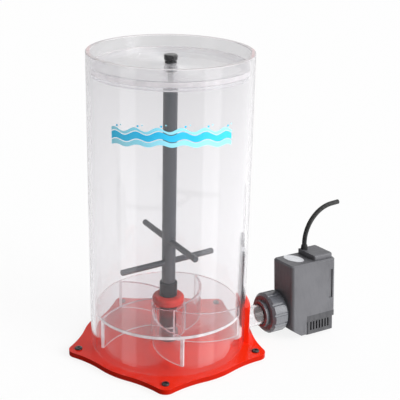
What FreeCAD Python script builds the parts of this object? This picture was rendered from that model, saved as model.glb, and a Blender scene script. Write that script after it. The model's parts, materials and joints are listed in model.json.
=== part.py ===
import FreeCAD, Part
import math
import os
import Sketcher

# Stirred media reactor: a clear tube on a red five-lobed base, a vertical stirring rotor driven by
# the jet of a side pump, and a lift-off lid.  Millimetres, +Z up, origin on the rotor axis at the
# underside of the rubber feet.  The pump and its union are built along their own axis: x runs along
# the pipe away from the tube, z is height above that axis.

DRIVING = {
    # base plate and feet
    "foot_height": 2, "foot_radius": 7, "plate_thick": 6, "plate_radius": 100.5,
    "lobe_circle": 106.8, "lobe_radius": 11.1, "lobe_blend": 130, "lobe_count": 5, "first_lobe": -91.1,
    "screw_shank": 2, "screw_head": 4.2, "screw_head_height": 2.2, "screw_bite": 1.2,
    "screw_dome": 1.3, "screw_socket": 1.5, "socket_depth": 1.3,
    # clear tube, lid and ledge
    "tube_radius": 90, "tube_wall": 5, "tube_length": 341,
    "ledge_height": 326, "ledge_thick": 4, "ledge_width": 9, "lid_thick": 6, "lid_gap": 0.4,
    "lid_bush_radius": 8, "lid_bush_length": 17.4, "lid_bush_depth": 15,
    "knob_shank": 2.5, "knob_flange": 6.5, "knob_neck": 5, "knob_head": 7.3, "knob_height": 9,
    "knob_flange_thick": 2, "knob_neck_end": 3.5,
    # rotor
    "pin_radius": 3, "running_gap": 0.05, "pin_top": 47, "pin_head": 10,
    "boss_radius": 12, "boss_height": 13, "boss_chamfer": 3, "washer_radius": 8,
    "washer_thick": 2.9, "bush_wall": 2.25, "small_chamfer": 1,
    "coupling_radius": 10.25, "coupling_bottom": 24, "coupling_top": 81, "coupling_web": 49,
    "shaft_radius": 7.9, "shaft_bore": 5.5, "shaft_bottom": 56, "shaft_top": 308,
    "plug_collar": 4, "plug_depth": 14, "top_pin_length": 15,
    "bar_radius": 3.5, "bar_chamfer": 0.6, "bar_length": 122,
    "upper_bar_height": 132.3, "upper_bar_angle": -61.5,
    "lower_bar_height": 105.6, "lower_bar_angle": 31.9,
    "disc_radius": 83.5, "disc_bottom": 50, "disc_thick": 4,
    "vane_height": 34, "vane_thick": 3, "vane_radius": 70, "vane_centre": 57.3,
    "vane_count": 5, "vane_sweep": 66.4, "first_vane": -78.1, "vane_inset": 0.9,
    "hub_radius": 20, "hub_wall": 3, "ring_radius": 18.5, "ring_height": 10, "ring_round": 3.5,
    # inlet
    "jet_angle": 28, "jet_offset": 38, "jet_height": 30,
    "saddle_radius": 95.5, "saddle_height": 46, "saddle_span": 26, "saddle_middle": 3,
    "saddle_chamfer": 2.5, "pipe_radius": 12.5, "pipe_bore": 9.5, "pipe_end": 111,
    # union
    "nut_start": 108, "nut_end": 128.7, "nut_radius": 24.5, "nut_lip": 5.9, "nut_ribs": 12,
    "nut_groove": 2, "nut_chamfer": 1.5, "nut_lead": 3, "nut_bore": 19.9, "thread_gap": 0.1,
    "tail_start": 103, "tail_radius": 16, "flange_start": 114,
    "flange_radius": 19, "flange_end": 117, "gasket_end": 119, "thread_radius": 19.8,
    "body_flange": 23, "body_face": 129.9, "body_chamfer": 0.3, "spigot_radius": 10.4,
    "spigot_end": 138, "outlet_bore": 8,
    # pump
    "pump_lean": -5.3, "pump_face": 130, "pump_width": 62.9, "pump_front": -29.2,
    "pump_depth": 40.5, "pump_bottom": -28.6, "case_top": 59.8, "case_round": 4,
    "case_bevel": 3, "corner_rise": 11, "corner_turn": 35, "corner_reach": 20,
    "case_slot_start": 183.3, "case_slot_end": 188.6, "case_slot_bottom": 13,
    "case_slot_top": 49, "case_slot_depth": 1.5,
    "cap_thick": 3, "cap_bevel": 1.6, "cap_rise": 6, "cap_split": 164.5, "cap_setback": 4,
    "cap_margin": 1.5, "cap_round": 3,
    "cover_start": 151.5, "cover_top": -9, "cover_inset": 1.5, "cover_wall": 2, "cover_round": 3,
    "cover_slots": 7, "cover_slot_start": 157.5, "cover_slot_pitch": 4.2, "cover_slot_width": 1.8,
    "cover_slot_bottom": -23.6, "cover_slot_top": -13,
    "lip_thick": 1.2, "lip_rise": 5, "lip_setback": 0.3, "ramp_height": 2,
    "rotor_place": 170, "rotor_depth": -9,
    "volute_radius": 15, "volute_half": 6, "volute_plate": 16.5,
    "eye_radius": 2.6, "eye_circle": 6.2, "eye_count": 5,
    "well_radius": 8.7, "well_wall": 1.5, "well_top": 32.2, "cavity_bottom": 9, "case_wall": 2.5,
    "magnet_radius": 8, "magnet_bottom": 7, "magnet_top": 27,
    "impeller_radius": 13.5, "impeller_hub": 4.5, "impeller_bottom": -5.4, "shroud_bottom": 1.6,
    "shroud_thick": 1.5, "shroud_overlap": 0.5, "blade_count": 6, "blade_thick": 1.5,
    "blade_gap": 0.4, "axle_radius": 1.5, "axle_bush_wall": 1.7, "axle_bush_length": 3,
    "core_leg": 7, "core_gap": 21, "core_depth": 16, "core_top": 53, "core_bridge": 10,
    "coil_build": 3.5, "coil_gap": 1, "coil_clearance": 0.5,
    "gland_place": 169.4, "gland_depth": 2.3, "gland_height": 5.5, "gland_collar": 1.3,
    "gland_collar_height": 2, "gland_wide": 1.2, "gland_wide_height": 3, "gland_thin": 0.7,
    "cable_radius": 2.8, "cable_rise": 11.7, "cable_bend": 44, "cable_turn": 88, "cable_tail": 10,
    "cable_heading": 4,
    "label_place": 148.5, "label_depth": -5.5, "label_long": 14.5, "label_short": 8.5,
    "label_thick": 0.3, "label_turn": 102,
}

doc = FreeCAD.newDocument("MediaReactor")
sheet = doc.addObject("Spreadsheet::Sheet", "Dimensions")
for row, (alias, size) in enumerate(DRIVING.items(), start=1):
    sheet.set(f"A{row}", alias)
    sheet.set(f"B{row}", str(size))
    sheet.setAlias(f"B{row}", alias)
doc.recompute()


class Dim:
    """A size with its value and the sheet expression that gives it."""

    def __init__(self, value, text):
        self.value = value
        self.text = text

    def combine(self, other, sign, value):
        right = other.text if isinstance(other, Dim) else repr(other)
        return Dim(value, f"({self.text} {sign} {right})")

    def __add__(self, other):
        return self.combine(other, "+", self.value + plain(other))

    def __sub__(self, other):
        return self.combine(other, "-", self.value - plain(other))

    def __mul__(self, other):
        return self.combine(other, "*", self.value * plain(other))

    def __truediv__(self, other):
        return self.combine(other, "/", self.value / plain(other))

    def __neg__(self):
        return Dim(-self.value, f"(0 - {self.text})")


def plain(size):
    return size.value if isinstance(size, Dim) else size


class Sizes:
    """Reads a size from the sheet by its alias."""

    def __getattr__(self, alias):
        return Dim(float(getattr(sheet, alias)), f"Dimensions.{alias}")


d = Sizes()
ZERO = Dim(0.0, "0")
PAST = 1    # how far a cutting tool runs past the face that it cuts
AXIS_UP = FreeCAD.Vector(0, 0, 1)
UPRIGHT = FreeCAD.Placement()
ALONG_X = FreeCAD.Rotation(FreeCAD.Vector(0, 1, 0), 90)

plate_top = d.foot_height + d.plate_thick
tube_bore = d.tube_radius - d.tube_wall
lid_bottom = d.ledge_height + d.ledge_thick
lid_top = lid_bottom + d.lid_thick
parts = {}


def turned_frame(angle, x=0.0, y=0.0, z=0.0):
    """A placement at a point, turned about the vertical."""
    return FreeCAD.Placement(FreeCAD.Vector(x, y, z), FreeCAD.Rotation(AXIS_UP, angle))


jet_turn = math.radians(d.jet_angle.value)
JET_FRAME = turned_frame(
    d.jet_angle.value,
    d.jet_offset.value * math.sin(jet_turn),
    -d.jet_offset.value * math.cos(jet_turn),
    d.jet_height.value,
)


def bind(obj, prop, size):
    """Sets a property and ties it to the sheet."""
    if isinstance(size, Dim):
        obj.setExpression(prop, size.text)
    else:
        setattr(obj, prop, size)


def keep(label, obj):
    """Names a finished sub-part; the name is also its file's."""
    obj.Label = label
    parts[label] = obj
    return obj


# ---- primitives -----------------------------------------------------------------------------

def cylinder(name, radius, bottom, top, frame=UPRIGHT, angle=360):
    """An upright cylinder between two heights of a frame."""
    shape = doc.addObject("Part::Cylinder", name)
    bind(shape, "Radius", radius)
    bind(shape, "Height", top - bottom)
    shape.Angle = plain(angle)
    shape.Placement = frame * FreeCAD.Placement(FreeCAD.Vector(0, 0, plain(bottom)), FreeCAD.Rotation())
    return shape


def lying_cylinder(name, radius, start, end, frame=UPRIGHT):
    """A cylinder along the x of a frame."""
    shape = doc.addObject("Part::Cylinder", name)
    bind(shape, "Radius", radius)
    bind(shape, "Height", end - start)
    shape.Placement = frame * FreeCAD.Placement(FreeCAD.Vector(plain(start), 0, 0), ALONG_X)
    return shape


def block(name, low, high, frame=UPRIGHT):
    """A box between two corners of a frame."""
    shape = doc.addObject("Part::Box", name)
    for prop, near, far in zip(("Length", "Width", "Height"), low, high):
        bind(shape, prop, far - near)
    corner = FreeCAD.Vector(*[plain(near) for near in low])
    shape.Placement = frame * FreeCAD.Placement(corner, FreeCAD.Rotation())
    return shape


def cut(name, base, *tools):
    """The base with every tool taken away."""
    shape = base
    for number, tool in enumerate(tools, start=1):
        result = doc.addObject("Part::Cut", f"{name}_cut_{number}")
        result.Base = shape
        result.Tool = tool
        shape = result
    return shape


def joined(name, *pieces):
    """One solid from touching pieces, with the inner seams removed."""
    shape = doc.addObject("Part::MultiFuse", f"{name}_joined")
    shape.Shapes = list(pieces)
    shape.Refine = True
    return shape


def polar_group(label, source, count, first_angle=0.0):
    """Copies of one piece spread evenly about the rotor axis, as separate solids."""
    doc.recompute()
    copies = []
    for number in range(int(count.value)):
        copy = source.Shape.copy()
        copy.rotate(FreeCAD.Vector(), AXIS_UP, first_angle + number * 360 / count.value)
        copies.append(copy)
    group = doc.addObject("Part::Feature", f"{label}_group")
    group.Shape = Part.makeCompound(copies)
    return keep(label, group)


# ---- bodies with sketches -------------------------------------------------------------------

def new_body(label, frame=UPRIGHT):
    body = doc.addObject("PartDesign::Body", f"{label}_body")
    body.Placement = frame
    return keep(label, body)


def sketch_on(body, role, name):
    """A sketch on one of the body's own origin planes."""
    plane = next(item for item in body.Origin.OriginFeatures if item.Role == role)
    sketch = body.newObject("Sketcher::SketchObject", name)
    sketch.AttachmentSupport = [(plane, "")]
    sketch.MapMode = "FlatFace"
    return sketch


def tie(sketch, kind, *refs, size):
    """A sketch constraint whose value follows the sheet."""
    index = sketch.addConstraint(Sketcher.Constraint(kind, *refs, plain(size)))
    if isinstance(size, Dim):
        sketch.setExpression(f"Constraints[{index}]", size.text)


def draw_circle(sketch, radius, x=ZERO, y=ZERO):
    centre = FreeCAD.Vector(plain(x), plain(y), 0)
    index = sketch.addGeometry(Part.Circle(centre, FreeCAD.Vector(0, 0, 1), plain(radius)), False)
    tie(sketch, "Radius", index, size=radius)
    tie(sketch, "DistanceX", -1, 1, index, 3, size=x)
    tie(sketch, "DistanceY", -1, 1, index, 3, size=y)
    return index


def draw_outline(sketch, corners):
    """A closed polygon with every corner placed by the sheet."""
    points = [FreeCAD.Vector(plain(x), plain(y), 0) for x, y in corners]
    following = points[1:] + points[:1]
    lines = [Part.LineSegment(start, end) for start, end in zip(points, following)]
    first = sketch.addGeometry(lines, False)[0]
    count = len(corners)
    for number, (x, y) in enumerate(corners):
        line = first + number
        before = first + (number - 1) % count
        sketch.addConstraint(Sketcher.Constraint("Coincident", before, 2, line, 1))
        tie(sketch, "DistanceX", -1, 1, line, 1, size=x)
        tie(sketch, "DistanceY", -1, 1, line, 1, size=y)


def pad(body, sketch, length, name):
    feature = body.newObject("PartDesign::Pad", name)
    feature.Profile = sketch
    bind(feature, "Length", length)
    return feature


def pocket_through(body, sketch, name):
    feature = body.newObject("PartDesign::Pocket", name)
    feature.Profile = sketch
    feature.Type = "ThroughAll"
    feature.Reversed = True
    return feature


def polar_pattern(body, feature, sketch, count, name):
    pattern = body.newObject("PartDesign::PolarPattern", name)
    pattern.Originals = [feature]
    pattern.Axis = (sketch, ["N_Axis"])
    pattern.Angle = 360
    bind(pattern, "Occurrences", count)
    body.Tip = pattern
    return pattern


def lathe(label, corners, frame=UPRIGHT, along_x=False, angle=360):
    """A turned body from its half outline: (radius, height), or (place, radius) along x."""
    body = new_body(label, frame)
    role = "XY_Plane" if along_x else "XZ_Plane"
    sketch = sketch_on(body, role, f"{label}_outline")
    draw_outline(sketch, corners)
    turn = body.newObject("PartDesign::Revolution", f"{label}_turn")
    turn.Profile = sketch
    turn.ReferenceAxis = (sketch, ["H_Axis" if along_x else "V_Axis"])
    turn.Angle = plain(angle)
    return body


def round_edges(body, radius, wanted, name):
    """Rounds the edges of the body's tip that the test picks."""
    doc.recompute()
    tip = body.Tip
    names = [f"Edge{i}" for i, edge in enumerate(tip.Shape.Edges, start=1) if wanted(edge)]
    fillet = body.newObject("PartDesign::Fillet", name)
    fillet.Base = (tip, names)
    bind(fillet, "Radius", radius)


def is_circle(edge, radius, height):
    """True for a full ring of the given radius at the given height."""
    curve = edge.Curve
    return (isinstance(curve, Part.Circle) and abs(curve.Radius - radius) < 0.01
            and abs(curve.Center.z - height) < 0.01)


# ---- base -----------------------------------------------------------------------------------

def draw_lobe(sketch):
    """One lobe: its round tip, a hollow blend to the plate's circle on each side, and the root."""
    reach = d.lobe_circle.value
    root = (d.plate_radius + d.lobe_blend).value
    across = (d.lobe_radius + d.lobe_blend).value
    lean = math.acos((reach ** 2 + root ** 2 - across ** 2) / (2 * reach * root))
    upper_centre = FreeCAD.Vector(root * math.cos(lean), root * math.sin(lean), 0)
    lower_centre = FreeCAD.Vector(upper_centre.x, -upper_centre.y, 0)
    tilt = math.atan2(upper_centre.y, upper_centre.x - reach)

    def arc(centre, radius, start, end):
        circle = Part.Circle(centre, AXIS_UP, radius.value)
        index = sketch.addGeometry(Part.ArcOfCircle(circle, start, end), False)
        tie(sketch, "Radius", index, size=radius)
        return index

    rim = sketch.addGeometry(Part.Circle(FreeCAD.Vector(), AXIS_UP, d.plate_radius.value), True)
    tie(sketch, "Radius", rim, size=d.plate_radius)
    tip = arc(FreeCAD.Vector(reach, 0, 0), d.lobe_radius, -tilt, tilt)
    upper = arc(upper_centre, d.lobe_blend, math.pi + lean, math.pi + tilt)
    lower = arc(lower_centre, d.lobe_blend, math.pi - tilt, math.pi - lean)
    touch = FreeCAD.Vector(math.cos(lean), math.sin(lean), 0) * d.plate_radius.value
    mirrored = FreeCAD.Vector(touch.x, -touch.y, 0)
    in_line = sketch.addGeometry(Part.LineSegment(FreeCAD.Vector(), mirrored), False)
    out_line = sketch.addGeometry(Part.LineSegment(touch, FreeCAD.Vector()), False)
    rule = Sketcher.Constraint
    sketch.addConstraint([
        rule("Coincident", rim, 3, -1, 1),
        rule("Tangent", upper, 2, tip, 2),
        rule("Tangent", lower, 1, tip, 1),
        rule("Tangent", upper, 1, rim),
        rule("Tangent", lower, 2, rim),
        rule("Coincident", in_line, 1, -1, 1),
        rule("Coincident", in_line, 2, lower, 2),
        rule("Coincident", out_line, 1, upper, 1),
        rule("Coincident", out_line, 2, -1, 1),
    ])
    tie(sketch, "DistanceX", -1, 1, tip, 3, size=d.lobe_circle)
    tie(sketch, "DistanceY", -1, 1, tip, 3, size=ZERO)


def base_plate():
    """The red plate, with its lobes, their screw holes and the hole for the pivot pin."""
    frame = turned_frame(d.first_lobe.value, z=d.foot_height.value)
    body = new_body("base_plate", frame)
    disc = sketch_on(body, "XY_Plane", "plate_disc")
    draw_circle(disc, d.plate_radius)
    pad(body, disc, d.plate_thick, "plate_pad")
    lobe = sketch_on(body, "XY_Plane", "plate_lobe")
    draw_lobe(lobe)
    lobe_pad = pad(body, lobe, d.plate_thick, "lobe_pad")
    doc.recompute()
    polar_pattern(body, lobe_pad, lobe, d.lobe_count, "lobes")
    doc.recompute()
    hole = sketch_on(body, "XY_Plane", "screw_hole")
    draw_circle(hole, d.screw_shank, x=d.lobe_circle)
    hole_pocket = pocket_through(body, hole, "screw_pocket")
    doc.recompute()
    polar_pattern(body, hole_pocket, hole, d.lobe_count, "screw_holes")
    doc.recompute()
    centre = sketch_on(body, "XY_Plane", "pin_hole")
    draw_circle(centre, d.pin_radius)
    pocket_through(body, centre, "pin_pocket")


def feet_and_screws():
    """Rubber feet under the lobes, and the button-head screws that hold them."""
    corner = turned_frame(0, x=d.lobe_circle.value)
    foot = cylinder("foot", d.foot_radius, ZERO, d.foot_height, corner)
    bite = d.foot_height - d.screw_bite
    foot_hole = cylinder("foot_hole", d.screw_shank, bite, d.foot_height, corner)
    polar_group("rubber_feet", cut("foot", foot, foot_hole), d.lobe_count, d.first_lobe.value)
    shank = cylinder("screw_shank", d.screw_shank, bite, plate_top, corner)
    head = cylinder("screw_head", d.screw_head, plate_top, plate_top + d.screw_head_height, corner)
    doc.recompute()
    rim = [(i, d.screw_dome.value, d.screw_dome.value)
           for i, edge in enumerate(head.Shape.Edges, start=1)
           if is_circle(edge, d.screw_head.value, (plate_top + d.screw_head_height).value)]
    dome = doc.addObject("Part::Fillet", "screw_dome")
    dome.Base = head
    dome.Edges = rim
    socket = doc.addObject("Part::Prism", "screw_socket")
    socket.Polygon = 6
    bind(socket, "Circumradius", d.screw_socket)
    bind(socket, "Height", d.socket_depth)
    socket_height = (plate_top + d.screw_head_height - d.socket_depth).value
    socket.Placement = turned_frame(0, x=d.lobe_circle.value, z=socket_height)
    screw = cut("screw", joined("screw", shank, dome), socket)
    polar_group("base_screws", screw, d.lobe_count, d.first_lobe.value)


def inlet_cylinder(name, radius):
    """A cylinder on the jet's axis, long enough to cross the tube's wall."""
    return lying_cylinder(name, radius, d.jet_offset, d.pipe_end, JET_FRAME)


def body_tube():
    """The clear tube, open at the top, with the bore for the inlet pipe low in its wall."""
    top = plate_top + d.tube_length
    outside = cylinder("tube_outside", d.tube_radius, plate_top, top)
    inside = cylinder("tube_inside", tube_bore, plate_top, top)
    port = inlet_cylinder("tube_port", d.pipe_radius)
    keep("body_tube", cut("tube", outside, inside, port))


def ledge():
    """The ring bonded inside the tube, which the lid rests on."""
    top = d.ledge_height + d.ledge_thick
    inner = tube_bore - d.ledge_width
    lathe("lid_ledge", [(inner, d.ledge_height), (tube_bore, d.ledge_height), (tube_bore, top),
                        (inner, top)])


def port_saddle():
    """The red block that hugs the tube outside and carries the inlet pipe."""
    top = plate_top + d.saddle_height
    outer = d.saddle_radius
    start = d.saddle_middle.value - d.saddle_span.value / 2
    saddle = lathe("saddle_blank", [
        (d.tube_radius, plate_top), (outer, plate_top), (outer, top - d.saddle_chamfer),
        (outer - d.saddle_chamfer, top), (d.tube_radius, top),
    ], frame=turned_frame(start), angle=d.saddle_span)
    del parts["saddle_blank"]
    bore = inlet_cylinder("saddle_bore", d.pipe_radius)
    keep("port_saddle", cut("saddle", saddle, bore))


def inlet_pipe():
    """The clear pipe through saddle and wall, trimmed flush with the tube's bore."""
    outside = inlet_cylinder("pipe_outside", d.pipe_radius)
    inside = inlet_cylinder("pipe_inside", d.pipe_bore)
    flush = cylinder("pipe_flush", tube_bore, plate_top, plate_top + d.saddle_height)
    keep("inlet_pipe", cut("pipe", outside, inside, flush))


def pivot():
    """What the rotor stands on: a boss on the plate, a slip washer and the fixed pin.

    The pin is put in from below.  Its flat head is level with the feet and holds up the middle of
    the plate; the origin lies on it.
    """
    boss_top = plate_top + d.boss_height
    lathe("pivot_boss", [(d.pin_radius, plate_top), (d.boss_radius, plate_top),
                         (d.boss_radius, boss_top - d.boss_chamfer),
                         (d.boss_radius - d.boss_chamfer, boss_top),
                         (d.pin_radius, boss_top)])
    washer_top = boss_top + d.washer_thick
    lathe("slip_washer", [(d.pin_radius, boss_top), (d.washer_radius, boss_top),
                          (d.washer_radius, washer_top), (d.pin_radius, washer_top)])
    chamfer = d.small_chamfer
    lathe("pivot_pin", [(ZERO, ZERO), (d.pin_head, ZERO), (d.pin_head, d.foot_height),
                        (d.pin_radius, d.foot_height), (d.pin_radius, d.pin_top - chamfer),
                        (d.pin_radius - chamfer, d.pin_top), (ZERO, d.pin_top)])


# ---- rotor ----------------------------------------------------------------------------------

def coupling():
    """The grey socket that joins the shaft to the wheel, with its bush pressed in below."""
    outer = d.coupling_radius
    bush = d.pin_radius + d.bush_wall
    chamfer = d.small_chamfer
    lathe("shaft_coupling", [
        (bush, d.coupling_bottom), (outer, d.coupling_bottom), (outer, d.coupling_top - chamfer),
        (outer - chamfer, d.coupling_top), (d.shaft_radius, d.coupling_top),
        (d.shaft_radius, d.shaft_bottom), (ZERO, d.shaft_bottom), (ZERO, d.coupling_web),
        (bush, d.coupling_web),
    ])
    running = d.pin_radius + d.running_gap
    lathe("pivot_bush", [(running, d.coupling_bottom), (bush, d.coupling_bottom),
                         (bush, d.coupling_web), (running, d.coupling_web)])


def bar_frame(angle, height):
    """The frame of a stirring bar: its x runs along the bar."""
    return turned_frame(angle.value, z=height.value)


def stirring_bar(label, angle, height):
    """A round bar through the shaft, with broken edges at both ends."""
    half = d.bar_length / 2
    radius = d.bar_radius
    chamfer = d.bar_chamfer
    lathe(label, [(-half, ZERO), (-half, radius - chamfer), (-half + chamfer, radius),
                  (half - chamfer, radius), (half, radius - chamfer), (half, ZERO)],
          frame=bar_frame(angle, height), along_x=True)


def shaft():
    """The grey tube, cross-drilled for both bars."""
    outside = cylinder("shaft_outside", d.shaft_radius, d.shaft_bottom, d.shaft_top)
    inside = cylinder("shaft_inside", d.shaft_bore, d.shaft_bottom, d.shaft_top)
    reach = d.shaft_radius * 1.25
    upper = lying_cylinder("upper_bar_hole", d.bar_radius, -reach, reach,
                           bar_frame(d.upper_bar_angle, d.upper_bar_height))
    lower = lying_cylinder("lower_bar_hole", d.bar_radius, -reach, reach,
                           bar_frame(d.lower_bar_angle, d.lower_bar_height))
    keep("stir_shaft", cut("shaft", outside, inside, upper, lower))


def shaft_plug():
    """The plug in the shaft's top, with the pin that runs in the lid's bush."""
    collar_top = d.shaft_top + d.plug_collar
    pin_top = collar_top + d.top_pin_length
    chamfer = d.small_chamfer
    lathe("shaft_top_plug", [
        (ZERO, d.shaft_top - d.plug_depth), (d.shaft_bore, d.shaft_top - d.plug_depth),
        (d.shaft_bore, d.shaft_top), (d.shaft_radius, d.shaft_top),
        (d.shaft_radius, collar_top - chamfer), (d.shaft_radius - chamfer, collar_top),
        (d.pin_radius, collar_top), (d.pin_radius, pin_top - chamfer),
        (d.pin_radius - chamfer, pin_top),
        (ZERO, pin_top),
    ])


def wheel():
    """The clear paddle wheel: a disc over five curved vanes round a hub tube, and the red ring."""
    disc_top = d.disc_bottom + d.disc_thick
    lathe("wheel_disc", [(d.coupling_radius, d.disc_bottom), (d.disc_radius, d.disc_bottom),
                         (d.disc_radius, disc_top), (d.coupling_radius, disc_top)])
    vane_bottom = d.disc_bottom - d.vane_height
    inner = d.hub_radius - d.hub_wall
    lathe("wheel_hub", [(inner, vane_bottom), (d.hub_radius, vane_bottom),
                        (d.hub_radius, d.disc_bottom), (inner, d.disc_bottom)])
    # A vane is a slice of a thin ring whose centre lies off the rotor axis.
    outer_reach = (d.disc_radius - d.vane_inset).value
    spread = math.degrees(math.acos(
        (outer_reach ** 2 + d.vane_centre.value ** 2 - d.vane_radius.value ** 2)
        / (2 * outer_reach * d.vane_centre.value)))
    centre = FreeCAD.Vector(d.vane_centre.value, 0, 0)
    tip = FreeCAD.Rotation(AXIS_UP, -spread).multVec(FreeCAD.Vector(outer_reach, 0, 0)) - centre
    tip_angle = math.degrees(math.atan2(tip.y, tip.x))
    frame = turned_frame(tip_angle - d.vane_sweep.value, x=d.vane_centre.value)
    half = d.vane_thick / 2
    outer = cylinder("vane_outer", d.vane_radius + half, vane_bottom, d.disc_bottom, frame,
                     d.vane_sweep)
    core = cylinder("vane_core", d.vane_radius - half, vane_bottom, d.disc_bottom, frame)
    hub = cylinder("vane_root", d.hub_radius, vane_bottom, d.disc_bottom)
    polar_group("wheel_vanes", cut("vane", outer, core, hub), d.vane_count,
                d.first_vane.value + spread)
    ring_top = disc_top + d.ring_height
    ring = lathe("hub_ring", [(d.coupling_radius, disc_top), (d.ring_radius, disc_top),
                              (d.ring_radius, ring_top), (d.coupling_radius, ring_top)])
    rims = (disc_top.value, ring_top.value)
    round_edges(ring, d.ring_round,
                lambda edge: any(is_circle(edge, d.ring_radius.value, rim) for rim in rims),
                "ring_rounds")


# ---- lid ------------------------------------------------------------------------------------

def lid():
    """The clear lid, the bush under it and the black pull knob."""
    edge = tube_bore - d.lid_gap
    lathe("lid", [(d.knob_shank, lid_bottom), (edge, lid_bottom), (edge, lid_top),
                  (d.knob_shank, lid_top)])
    bush_bottom = lid_bottom - d.lid_bush_length
    bore_top = bush_bottom + d.lid_bush_depth
    running = d.pin_radius + d.running_gap
    lathe("lid_bush", [(running, bush_bottom), (d.lid_bush_radius, bush_bottom),
                       (d.lid_bush_radius, lid_bottom), (ZERO, lid_bottom), (ZERO, bore_top),
                       (running, bore_top)])
    knob_top = lid_top + d.knob_height
    neck_bottom = lid_top + d.knob_flange_thick
    neck_top = lid_top + d.knob_neck_end
    chamfer = d.small_chamfer
    lathe("lid_knob", [
        (ZERO, lid_bottom), (d.knob_shank, lid_bottom), (d.knob_shank, lid_top),
        (d.knob_flange, lid_top), (d.knob_flange, neck_bottom), (d.knob_neck, neck_bottom),
        (d.knob_neck, neck_top), (d.knob_head, neck_top), (d.knob_head, knob_top - chamfer),
        (d.knob_head - chamfer, knob_top), (ZERO, knob_top),
    ])


# ---- union ----------------------------------------------------------------------------------

def union():
    """Tail on the pipe, flat gasket, ribbed nut and the threaded body fixed in the pump."""
    lathe("union_tail", [
        (d.tail_start, d.pipe_radius), (d.tail_start, d.tail_radius),
        (d.flange_start, d.tail_radius), (d.flange_start, d.flange_radius),
        (d.flange_end, d.flange_radius), (d.flange_end, d.pipe_bore),
        (d.pipe_end, d.pipe_bore), (d.pipe_end, d.pipe_radius),
    ], frame=JET_FRAME, along_x=True)
    gasket_radius = d.flange_radius - d.small_chamfer
    lathe("union_gasket", [
        (d.flange_end, d.pipe_radius), (d.flange_end, gasket_radius),
        (d.gasket_end, gasket_radius), (d.gasket_end, d.pipe_radius),
    ], frame=JET_FRAME, along_x=True)
    thread_end = d.nut_end + d.thread_gap
    chamfer = d.body_chamfer
    lathe("union_body", [
        (d.gasket_end, d.outlet_bore), (d.gasket_end, d.thread_radius),
        (thread_end, d.thread_radius), (thread_end, d.body_flange - chamfer),
        (thread_end + chamfer, d.body_flange), (d.body_face - chamfer, d.body_flange),
        (d.body_face, d.body_flange - chamfer), (d.body_face, d.spigot_radius),
        (d.spigot_end, d.spigot_radius), (d.spigot_end, d.outlet_bore),
    ], frame=JET_FRAME, along_x=True)
    chamfer = d.nut_chamfer
    lip_bore = d.tail_radius + d.thread_gap
    lip_end = d.nut_start + d.nut_lip
    nut = lathe("nut_blank", [
        (d.nut_start, lip_bore), (d.nut_start, d.nut_radius - d.nut_lead),
        (d.nut_start + d.nut_lead, d.nut_radius), (d.nut_end - chamfer, d.nut_radius),
        (d.nut_end, d.nut_radius - chamfer), (d.nut_end, d.nut_bore),
        (lip_end, d.nut_bore), (lip_end, lip_bore),
    ], frame=JET_FRAME, along_x=True)
    del parts["nut_blank"]
    groove_reach = d.nut_radius.value + d.nut_groove.value / 2
    grooves = []
    for number in range(int(d.nut_ribs.value)):
        turn = FreeCAD.Rotation(FreeCAD.Vector(1, 0, 0), (number + 0.5) * 360 / d.nut_ribs.value)
        spot = turn.multVec(FreeCAD.Vector(0, groove_reach, 0))
        frame = JET_FRAME * FreeCAD.Placement(spot, FreeCAD.Rotation())
        grooves.append(lying_cylinder("nut_groove", d.nut_groove, d.nut_start - PAST,
                                      d.nut_end + PAST, frame))
    keep("union_nut", cut("nut", nut, joined("nut_grooves", *grooves)))


# ---- pump -----------------------------------------------------------------------------------

pump_end = d.pump_face + d.pump_width
pump_back = d.pump_front + d.pump_depth
PUMP_FRAME = JET_FRAME * FreeCAD.Placement(
    FreeCAD.Vector(), FreeCAD.Rotation(FreeCAD.Vector(1, 0, 0), d.pump_lean.value))
ROTOR_FRAME = PUMP_FRAME * turned_frame(0, x=d.rotor_place.value, y=d.rotor_depth.value)
CABLE_FRAME = PUMP_FRAME * turned_frame(d.cable_heading.value, x=d.gland_place.value,
                                        y=d.gland_depth.value)


def rounded_block(name, low, high, wanted, radius):
    """A block in the pump's frame with the edges that the test picks rounded."""
    box = block(name, low, high, PUMP_FRAME)
    doc.recompute()
    to_pump = PUMP_FRAME.inverse()
    chosen = []
    for number, edge in enumerate(box.Shape.Edges, start=1):
        ends = [to_pump.multVec(vertex.Point) for vertex in edge.Vertexes]
        if wanted(*ends):
            chosen.append((number, plain(radius), plain(radius)))
    rounded = doc.addObject("Part::Fillet", f"{name}_rounded")
    rounded.Base = box
    rounded.Edges = chosen
    return rounded


def is_upright(start, end):
    return abs(start.z - end.z) > 1


def bevel_rim(base, height, size):
    """Bevels every edge of the base that lies at one height of the pump's frame."""
    doc.recompute()
    to_pump = PUMP_FRAME.inverse()
    rim = [(number, size.value, size.value) for number, edge in enumerate(base.Shape.Edges, start=1)
           if all(abs(to_pump.multVec(vertex.Point).z - height.value) < 0.01
                  for vertex in edge.Vertexes)]
    bevel = doc.addObject("Part::Chamfer", f"{base.Name}_bevel")
    bevel.Base = base
    bevel.Edges = rim
    return bevel


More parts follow.
